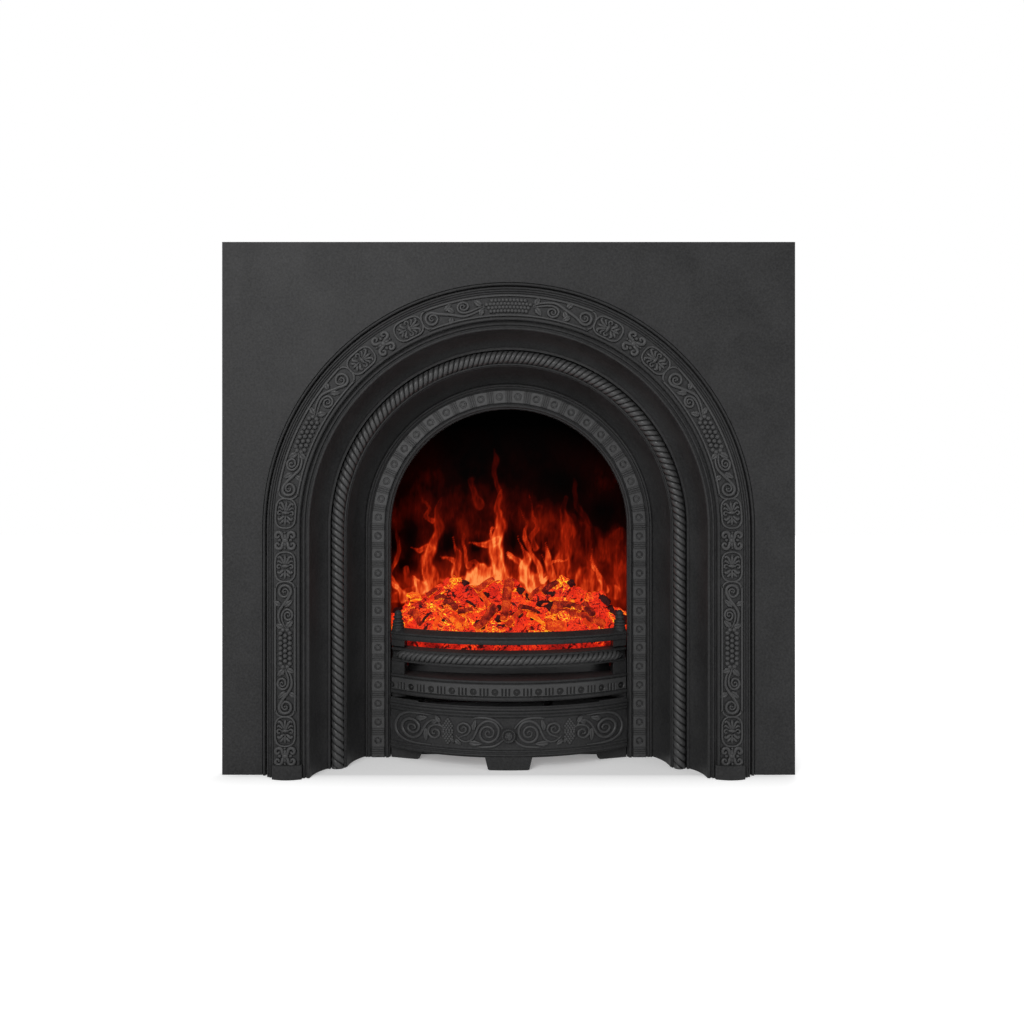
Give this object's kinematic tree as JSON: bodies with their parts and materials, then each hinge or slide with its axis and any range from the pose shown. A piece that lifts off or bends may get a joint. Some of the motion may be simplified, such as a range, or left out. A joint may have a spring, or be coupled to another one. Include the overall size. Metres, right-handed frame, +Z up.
{
  "type": "electric fireplace insert",
  "caption": "Arched cast-iron fireplace insert with rope moulding, scroll band, bowed grate and ashpan cover, and an electric case with glowing coals, flame screen and fan heater behind.",
  "frame": {"origin": "on the hearth, at mid width and mid depth of the whole insert", "axes": "+X to the right seen from the room, +Y back into the wall, +Z up; the front faces -Y"},
  "size_m": [0.914, 0.336, 0.85],
  "materials": {
    "cast_iron_black": "fine leathery cast grain, satin black",
    "steel_black": "satin black paint",
    "steel_plated": "dull zinc plate",
    "plastic_black": "fine moulded grain",
    "coals_glowing": "rough translucent resin, lit from below",
    "logs_charred": "charred bark with glowing cracks",
    "screen_smoked": "smoked glass with the flame picture",
    "foil_bright": "polished foil",
    "board_green": "solder mask",
    "lamp_amber": "clear amber dome",
    "element_ceramic": "matt ceramic"
  },
  "bodies": {
    "root": {"face_plate": "cast_iron_black", "arch_casting": "cast_iron_black", "rope_moulding": "cast_iron_black", "inner_frame": "cast_iron_black", "frame_bolts": "steel_plated", "case_flange": "steel_black", "case_left": "steel_black", "case_right": "steel_black", "case_top": "steel_black", "case_floor": "steel_black", "case_back_panel": "steel_black", "vent_cover": "steel_black", "grate_supports": "steel_black", "magnet_catches": "steel_black", "fuel_tray": "steel_black", "ember_bed": "coals_glowing", "logs": "logs_charred", "flame_screen": "screen_smoked", "rotor_bearing": "plastic_black", "rotor_motor": "steel_plated", "lamp_rail": "steel_plated", "lamp_board": "board_green", "lamps": "lamp_amber", "heater_duct": "steel_plated", "outlet_grille": "steel_black", "heating_element": "element_ceramic", "fan_bearing": "plastic_black", "fan_motor": "steel_plated", "thermal_cutout": "plastic_black", "control_panel": "steel_black", "switch_bodies": "plastic_black", "thermostat_body": "plastic_black", "terminal_box": "plastic_black", "cable_gland": "plastic_black", "case_screws": "steel_plated"},
    "grate": {"top_rail": "cast_iron_black", "rope_bar": "cast_iron_black", "bar_rope": "cast_iron_black", "lower_rail": "cast_iron_black", "uprights": "cast_iron_black", "finials": "cast_iron_black"},
    "cover": {"ashpan_cover": "cast_iron_black", "cover_knob": "cast_iron_black", "knob_screw": "steel_plated"},
    "rotor": {"flame_rotor": "foil_bright"},
    "fan": {"fan_wheel": "steel_plated"},
    "lamp_switch": {"rocker_lamp": "plastic_black"},
    "low_heat_switch": {"rocker_heat_low": "plastic_black"},
    "high_heat_switch": {"rocker_heat_high": "plastic_black"},
    "thermostat": {"thermostat_knob": "plastic_black"}
  },
  "joints": [
    {"name": "grate_lift", "type": "slide", "parent": "root", "child": "grate", "axis": [0, 0, 1], "range_m": [0, 0.025]},
    {"name": "cover_pull", "type": "slide", "parent": "root", "child": "cover", "axis": [0, -1, 0], "range_m": [0, 0.15]},
    {"name": "rotor_turn", "type": "hinge", "parent": "root", "child": "rotor", "pos_m": [0, 0.114, 0.215], "axis": [1, 0, 0], "continuous": true},
    {"name": "fan_turn", "type": "hinge", "parent": "root", "child": "fan", "pos_m": [-0.044, 0.09, 0.0445], "axis": [1, 0, 0], "continuous": true},
    {"name": "lamp_switch_rock", "type": "hinge", "parent": "root", "child": "lamp_switch", "pos_m": [0.09, -0.004, 0.058], "axis": [1, 0, 0], "range_deg": [0, 14]},
    {"name": "low_heat_switch_rock", "type": "hinge", "parent": "root", "child": "low_heat_switch", "pos_m": [0.112, -0.004, 0.058], "axis": [1, 0, 0], "range_deg": [0, 14]},
    {"name": "high_heat_switch_rock", "type": "hinge", "parent": "root", "child": "high_heat_switch", "pos_m": [0.134, -0.004, 0.058], "axis": [1, 0, 0], "range_deg": [0, 14]},
    {"name": "thermostat_turn", "type": "hinge", "parent": "root", "child": "thermostat", "pos_m": [0.166, -0.009, 0.058], "axis": [0, 1, 0], "range_deg": [0, 270]}
  ]
}
